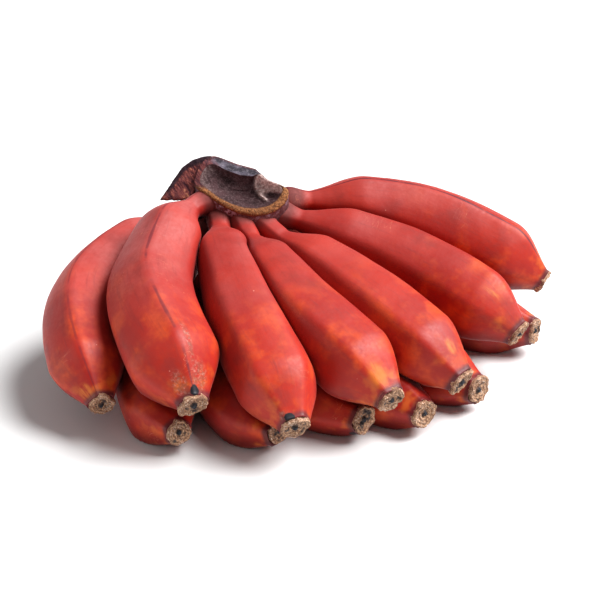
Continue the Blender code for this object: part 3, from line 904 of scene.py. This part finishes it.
def build_crown(bark):
    """The cut face: a dished hollow inside a corky rim, on a body that runs back among the necks."""
    angles = even_angles(FACE_SIDES)
    x, y = np.cos(angles), np.sin(angles)
    outer = closed_outline(OUTER_EDGE, (0.0, 0.0), angles, 7)
    inner = closed_outline(HOLLOW_EDGE, (0.0, 0.0), angles, 5)
    below = band_of_angles(angles, 177.0, 365.0, 4.0)
    flare = band_of_angles(angles, 190.0, 318.0, 16.0)
    ridge = band_of_angles(angles, 40.0, 138.0, 8.0)
    left_side = band_of_angles(angles, 136.0, 176.0, 4.0)
    bare = (1 - below) * (1 - ridge) * (1 - left_side)
    rings, marks = [], {name: [] for name in CROWN_MARKS}

    def add(points, **given):
        rings.append(points)
        for name in CROWN_MARKS:
            marks[name].append(np.zeros(FACE_SIDES) + given.get(name, 0.0))

    def edge_point(reach, out):
        return on_plane(x * reach, y * reach, out - FACE_FALL * y * reach)

    # The body, from deep among the necks up to the outer edge.
    back = -4.5 * ridge - 0.9 * below
    for depth, size in FACE_BODY:
        fade = ease((10.0 - depth) / 6.0)
        milky = ease((4.6 - depth) / 1.6) * (0.30 + 0.70 * band_of_angles(angles, 190.0, 248.0, 14.0))
        girth = outer * (1.0 + (size - 1.0) * np.where(size > 1.0, flare, 1.0))
        add(edge_point(girth, back) + DEEPER * depth,
            wall=below * (0.35 + 0.65 * fade), latex=below * milky, scrape=0.45 * (1 - below))
    # Over the edge: corky rim below, slate bevel above.
    bevel = (1 - below) * band_of_angles(angles, 45.0, 142.0, 6.0)
    for share, rise in FACE_RIM:
        out = back * (1 - share) + rise * below
        add(edge_point(outer + (inner - outer) * share, out), rim=below * ease((1.04 - share) / 0.2),
            slate=bevel * ease((share + 0.02) / 0.12), hollow=bare,
            scrape=ridge * (1 - ease(share / 0.16)) * 0.8 + left_side * 0.8)
    # Down the hollow's side and across its floor.
    for share in FLOOR_SHARES:
        fall = -6.5 * (1 - share**2) ** 0.8 - 0.8 * (1 - share) * below
        dusty = band_of_angles(angles, 142.0, 182.0, 8.0) * ease((share - 0.80) / 0.14)
        add(edge_point(inner * share, fall), hollow=1.0, pale=0.12 * dusty)

    points = np.array(rings)
    hollow = np.array(marks["hollow"])
    flat = points - FACE_MIDDLE
    across, up = flat @ RIGHT, flat @ UP
    # A pale torn lobe at the right of the hollow, with a ridge down its left side and a pocket behind.
    far = distance_to_line(across, up, LOBE_RIDGE)
    ridge_line = np.exp(-((far / 1.1) ** 2)) * hollow
    shelf = ease((across - 8.0) / 3.0) * ease((up + 5.0) / 5.0) * hollow
    pocket = np.exp(-(((across - 18.0) / 4.0) ** 2 + ((up + 3.2) / 2.6) ** 2)) * hollow
    points = points + OUT * (2.2 * ridge_line + 2.4 * shelf - 2.0 * pocket)[:, :, None]
    rough = lumps(points, 8.0, 21.0) * 0.5 + lumps(points, 2.6, 22.0) * 0.30
    rough = rough + lumps(points, 1.1, 23.0) * 0.14
    points = points + OUT * rough[:, :, None]
    marks["pale"] = np.clip(np.array(marks["pale"]) + ridge_line * 1.1 + shelf - pocket * 0.7, 0, 1)
    add_crown_piece("crown_face", points, marks, angles, bark)


ROOT_MIDDLE = (-2.0, 8.0, 79.0)
ROOT_REACH = (32.0, 16.0, 17.5)  # half its size across the fan, front to back, and upwards


def build_root(bark):
    """The woody lump behind and under the face that every neck grows out of."""
    angles = even_angles(ROOT_SIDES)
    turns = np.linspace(0.05, math.pi - 0.05, ROOT_RINGS)
    ring = np.stack([np.zeros(ROOT_SIDES), np.cos(angles), np.sin(angles)], axis=1)
    outward = np.array([ring * math.sin(t) + np.array([-math.cos(t), 0.0, 0.0]) for t in turns])
    points = np.array(ROOT_MIDDLE) + outward * np.array(ROOT_REACH)
    # Folds run round it towards the necks, finer bark lies over them.
    folds = lumps(points * np.array([1.0, 0.45, 0.45]), 5.0, 51.0) * 1.3 + lumps(points, 2.2, 52.0) * 0.5
    points = points + outward * (folds + lumps(points, 9.0, 53.0) * 1.2)[:, :, None]
    low = ease((84.0 - points[:, :, 2]) / 10.0)
    marks = {name: np.zeros(points.shape[:2]) for name in CROWN_MARKS}
    marks["wall"] = 0.35 + 0.65 * low
    marks["scrape"] = 0.8 * (1.0 - low)
    add_crown_piece("crown_root", points, marks, angles, bark)


def build_heel(bark):
    """The torn heel at the crown's left: a bark plate that narrows down to a ragged tip."""
    angles = even_angles(HEEL_SIDES)
    x, y = np.cos(angles), np.sin(angles)
    reach = closed_outline(HEEL_EDGE, HEEL_MIDDLE, angles, 4)
    ragged = np.array([noise.noise(Vector((a * 9.0, 4.0, 0.0))) for a in angles])
    reach = reach + ragged * 0.7 * band_of_angles(angles, 170.0, 290.0, 15.0)
    rings, marks = [], {name: [] for name in CROWN_MARKS}
    for share, sunk in HEEL_PROFILE:
        across, up = HEEL_MIDDLE[0] + x * reach * share, HEEL_MIDDLE[1] + y * reach * share
        towards_left = np.clip((-26.0 - across) / 26.0, -0.3, 1.0)
        thin = 1.0 - 0.75 * ease((-38.0 - across) / 14.0)
        out = -FACE_FALL * up - 2.2 - 7.0 * towards_left - sunk * thin
        rings.append(on_plane(across, up, out))
        dark_band = band_of_angles(angles, 40.0, 212.0, 10.0) * ease((share - 0.60) / 0.10)
        front = 1.0 if sunk < 1.0 else 0.35
        for name in CROWN_MARKS:
            value = front * (1 - dark_band) if name == "scrape" else 0.0
            marks[name].append(np.zeros(HEEL_SIDES) + value)
    points = np.array(rings)
    rough = lumps(points, 7.0, 41.0) * 0.9 + lumps(points, 2.4, 42.0) * 0.42
    rough = rough + lumps(points, 1.1, 43.0) * 0.18
    points = points + OUT * rough[:, :, None]
    add_crown_piece("crown_heel", points, marks, angles, bark)


# ---------------------------------------------------------------- table, light and camera

# In metres, watts and degrees.
TABLE_HALF = 60.0
WORLD_STRENGTH = 0.24
KEY_PLACE = (0.80, 0.05, 1.00)
KEY_SPREAD = 38.0
KEY_POWER = 4.8
FILL_PLACE = (-1.05, -0.28, 0.30)
FILL_AIM = (0.0, 0.0, 0.05)
FILL_SIZE = 0.5
FILL_POWER = 1.6
VIEW_TARGET = (0.034, -0.052, 0.045)  # from under the crown's middle
VIEW_ELEVATION = 28.0
VIEW_DISTANCE = 0.80


def table():
    work = bmesh.new()
    bmesh.ops.create_grid(work, x_segments=1, y_segments=1, size=TABLE_HALF)
    mesh = bpy.data.meshes.new("table_top")
    work.to_mesh(mesh)
    work.free()
    g = Graph("table_paper")
    grain = g.noise(g.place(), 900.0, 2.0, 0.5)
    mesh.materials.append(g.finish((0.84, 0.84, 0.84, 1.0), 0.9, g.bump(grain, 0.05, 0.0002)))
    top = bpy.data.objects.new("table_top", mesh)
    bpy.context.scene.collection.objects.link(top)


def soft_light(name, place, target, size, power):
    lamp = bpy.data.lights.new(name, "AREA")
    lamp.shape = "DISK"
    lamp.size = size
    lamp.energy = power
    aim_light(lamp, place, target)


def soft_sky(name, place, spread, power):
    """A light from far off, as soft as a wide panel, that falls evenly on the whole table."""
    lamp = bpy.data.lights.new(name, "SUN")
    lamp.angle = math.radians(spread)
    lamp.energy = power
    aim_light(lamp, place, (0.0, 0.0, 0.0))


def aim_light(lamp, place, target):
    thing = bpy.data.objects.new(lamp.name, lamp)
    thing.location = place
    aim = Vector(target) - Vector(place)
    thing.rotation_euler = aim.to_track_quat("-Z", "Y").to_euler()
    bpy.context.scene.collection.objects.link(thing)


def light_and_camera():
    scene = bpy.context.scene
    world = bpy.data.worlds.new("studio")
    world.use_nodes = True
    backdrop = world.node_tree.nodes["Background"]
    backdrop.inputs["Color"].default_value = (1.0, 1.0, 1.0, 1.0)
    backdrop.inputs["Strength"].default_value = WORLD_STRENGTH
    scene.world = world
    scene.view_settings.view_transform = "Standard"
    scene.view_settings.look = "Medium High Contrast"
    soft_sky("key", KEY_PLACE, KEY_SPREAD, KEY_POWER)
    soft_light("left", FILL_PLACE, FILL_AIM, FILL_SIZE, FILL_POWER)

    target = Vector(VIEW_TARGET) + Vector(CROWN_MIDDLE) * MM
    elevation = math.radians(VIEW_ELEVATION)
    lens = bpy.data.cameras.new("camera")
    lens.lens = 80.0
    lens.sensor_width = 36.0
    camera = bpy.data.objects.new("camera", lens)
    camera.location = target + Vector((0.0, -math.cos(elevation), math.sin(elevation))) * VIEW_DISTANCE
    camera.rotation_euler = (target - camera.location).to_track_quat("-Z", "Y").to_euler()
    scene.collection.objects.link(camera)
    scene.camera = camera


def main():
    peel, cork, bark = peel_material(), cork_material(), crown_material()
    cores = {}
    for banana in BANANAS:
        shares = np.linspace(0.0, 1.0, LINE_POINTS)
        line, length = centreline(banana, shares)
        cores[banana.name] = (line, thickness(banana, shares * length, length))
    for banana in BANANAS:
        build_banana(banana, cores, peel, cork)
    build_crown(bark)
    build_root(bark)
    build_heel(bark)
    table()
    light_and_camera()
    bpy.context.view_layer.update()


main()
